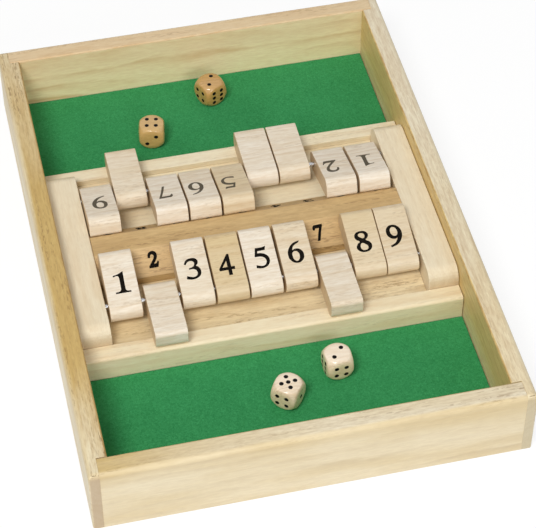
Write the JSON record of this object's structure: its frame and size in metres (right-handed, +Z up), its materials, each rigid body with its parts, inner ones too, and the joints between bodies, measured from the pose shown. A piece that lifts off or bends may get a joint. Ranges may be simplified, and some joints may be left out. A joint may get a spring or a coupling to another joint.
{
  "type": "shut the box game",
  "caption": "Open wooden tray game for two players: a felted dice well at each end and, between them, facing rows of numbered flip tiles on steel rods.",
  "frame": {"origin": "centre of the underside of the tray, on the table", "axes": "+X to the right and +Y to the rear as the front player sits, along the tray's length, +Z up out of the tray"},
  "size_m": [0.222, 0.308, 0.041],
  "materials": {
    "side_wall_wood": "clear satin lacquer over fine short pores, golden tan",
    "end_wall_wood": "clear satin lacquer over wavy grain, pale",
    "panel_plywood": "bare plywood",
    "frame_wood": "clear satin lacquer over pale cream wood",
    "floor_wood": "clear satin lacquer, tan",
    "ridge_wood": "clear satin lacquer, honey",
    "tile_wood": "clear satin lacquer over pale cream wood, printed black number",
    "rod_steel": "bright drawn wire",
    "felt": "short pressed green felt",
    "die_wood_pale": "lacquered pale wood with black painted pips",
    "die_wood_tan": "lacquered tan wood with black painted pips"
  },
  "bodies": {
    "case": {"wall_left": "side_wall_wood", "wall_right": "side_wall_wood", "wall_front": "end_wall_wood", "wall_rear": "end_wall_wood", "bottom_panel": "panel_plywood", "felt_front": "felt", "felt_rear": "felt", "end_block_left": "frame_wood", "end_block_right": "frame_wood", "rail_front": "frame_wood", "rail_rear": "frame_wood", "floor_front": "floor_wood", "floor_rear": "frame_wood", "ridge": "ridge_wood", "rod_front": "rod_steel", "rod_rear": "rod_steel"},
    "tile_front_1": {"tile_front_1": "tile_wood"},
    "tile_front_2": {"tile_front_2": "tile_wood"},
    "tile_front_3": {"tile_front_3": "tile_wood"},
    "tile_front_4": {"tile_front_4": "tile_wood"},
    "tile_front_5": {"tile_front_5": "tile_wood"},
    "tile_front_6": {"tile_front_6": "tile_wood"},
    "tile_front_7": {"tile_front_7": "tile_wood"},
    "tile_front_8": {"tile_front_8": "tile_wood"},
    "tile_front_9": {"tile_front_9": "tile_wood"},
    "tile_rear_1": {"tile_rear_1": "tile_wood"},
    "tile_rear_2": {"tile_rear_2": "tile_wood"},
    "tile_rear_3": {"tile_rear_3": "tile_wood"},
    "tile_rear_4": {"tile_rear_4": "tile_wood"},
    "tile_rear_5": {"tile_rear_5": "tile_wood"},
    "tile_rear_6": {"tile_rear_6": "tile_wood"},
    "tile_rear_7": {"tile_rear_7": "tile_wood"},
    "tile_rear_8": {"tile_rear_8": "tile_wood"},
    "tile_rear_9": {"tile_rear_9": "tile_wood"},
    "die_front_left": {"die_front_left": "die_wood_pale"},
    "die_front_right": {"die_front_right": "die_wood_pale"},
    "die_rear_left": {"die_rear_left": "die_wood_tan"},
    "die_rear_right": {"die_rear_right": "die_wood_tan"}
  },
  "joints": [
    {"name": "tile_front_1_turn", "type": "hinge", "parent": "case", "child": "tile_front_1", "pos_m": [-0.07343, -0.0386, 0.02816], "axis": [1, 0, 0], "range_deg": [0, 165]},
    {"name": "tile_front_2_turn", "type": "hinge", "parent": "case", "child": "tile_front_2", "pos_m": [-0.05418, -0.0386, 0.02816], "axis": [1, 0, 0], "range_deg": [-165, 0]},
    {"name": "tile_front_3_turn", "type": "hinge", "parent": "case", "child": "tile_front_3", "pos_m": [-0.03555, -0.0386, 0.02816], "axis": [1, 0, 0], "range_deg": [0, 165]},
    {"name": "tile_front_4_turn", "type": "hinge", "parent": "case", "child": "tile_front_4", "pos_m": [-0.01747, -0.0386, 0.02816], "axis": [1, 0, 0], "range_deg": [0, 165]},
    {"name": "tile_front_5_turn", "type": "hinge", "parent": "case", "child": "tile_front_5", "pos_m": [0.00039, -0.0386, 0.02816], "axis": [1, 0, 0], "range_deg": [0, 165]},
    {"name": "tile_front_6_turn", "type": "hinge", "parent": "case", "child": "tile_front_6", "pos_m": [0.01886, -0.0386, 0.02816], "axis": [1, 0, 0], "range_deg": [0, 165]},
    {"name": "tile_front_7_turn", "type": "hinge", "parent": "case", "child": "tile_front_7", "pos_m": [0.03718, -0.0386, 0.02816], "axis": [1, 0, 0], "range_deg": [-165, 0]},
    {"name": "tile_front_8_turn", "type": "hinge", "parent": "case", "child": "tile_front_8", "pos_m": [0.05573, -0.0386, 0.02816], "axis": [1, 0, 0], "range_deg": [0, 165]},
    {"name": "tile_front_9_turn", "type": "hinge", "parent": "case", "child": "tile_front_9", "pos_m": [0.07319, -0.0386, 0.02816], "axis": [1, 0, 0], "range_deg": [0, 165]},
    {"name": "tile_rear_1_turn", "type": "hinge", "parent": "case", "child": "tile_rear_1", "pos_m": [0.0725, 0.0386, 0.02816], "axis": [-1, 0, 0], "range_deg": [0, 165]},
    {"name": "tile_rear_2_turn", "type": "hinge", "parent": "case", "child": "tile_rear_2", "pos_m": [0.05418, 0.0386, 0.02816], "axis": [-1, 0, 0], "range_deg": [0, 165]},
    {"name": "tile_rear_3_turn", "type": "hinge", "parent": "case", "child": "tile_rear_3", "pos_m": [0.03354, 0.0386, 0.02816], "axis": [-1, 0, 0], "range_deg": [-165, 0]},
    {"name": "tile_rear_4_turn", "type": "hinge", "parent": "case", "child": "tile_rear_4", "pos_m": [0.01576, 0.0386, 0.02816], "axis": [-1, 0, 0], "range_deg": [-165, 0]},
    {"name": "tile_rear_5_turn", "type": "hinge", "parent": "case", "child": "tile_rear_5", "pos_m": [-0.00217, 0.0386, 0.02816], "axis": [-1, 0, 0], "range_deg": [0, 165]},
    {"name": "tile_rear_6_turn", "type": "hinge", "parent": "case", "child": "tile_rear_6", "pos_m": [-0.02018, 0.0386, 0.02816], "axis": [-1, 0, 0], "range_deg": [0, 165]},
    {"name": "tile_rear_7_turn", "type": "hinge", "parent": "case", "child": "tile_rear_7", "pos_m": [-0.03818, 0.0386, 0.02816], "axis": [-1, 0, 0], "range_deg": [0, 165]},
    {"name": "tile_rear_8_turn", "type": "hinge", "parent": "case", "child": "tile_rear_8", "pos_m": [-0.0565, 0.0386, 0.02816], "axis": [-1, 0, 0], "range_deg": [-165, 0]},
    {"name": "tile_rear_9_turn", "type": "hinge", "parent": "case", "child": "tile_rear_9", "pos_m": [-0.07436, 0.0386, 0.02816], "axis": [-1, 0, 0], "range_deg": [0, 165]},
    {"name": "die_front_left_lift", "type": "slide", "parent": "case", "child": "die_front_left", "axis": [0, 0, 1], "range_m": [0, 0.06]},
    {"name": "die_front_right_lift", "type": "slide", "parent": "case", "child": "die_front_right", "axis": [0, 0, 1], "range_m": [0, 0.06]},
    {"name": "die_rear_left_lift", "type": "slide", "parent": "case", "child": "die_rear_left", "axis": [0, 0, 1], "range_m": [0, 0.06]},
    {"name": "die_rear_right_lift", "type": "slide", "parent": "case", "child": "die_rear_right", "axis": [0, 0, 1], "range_m": [0, 0.06]}
  ]
}
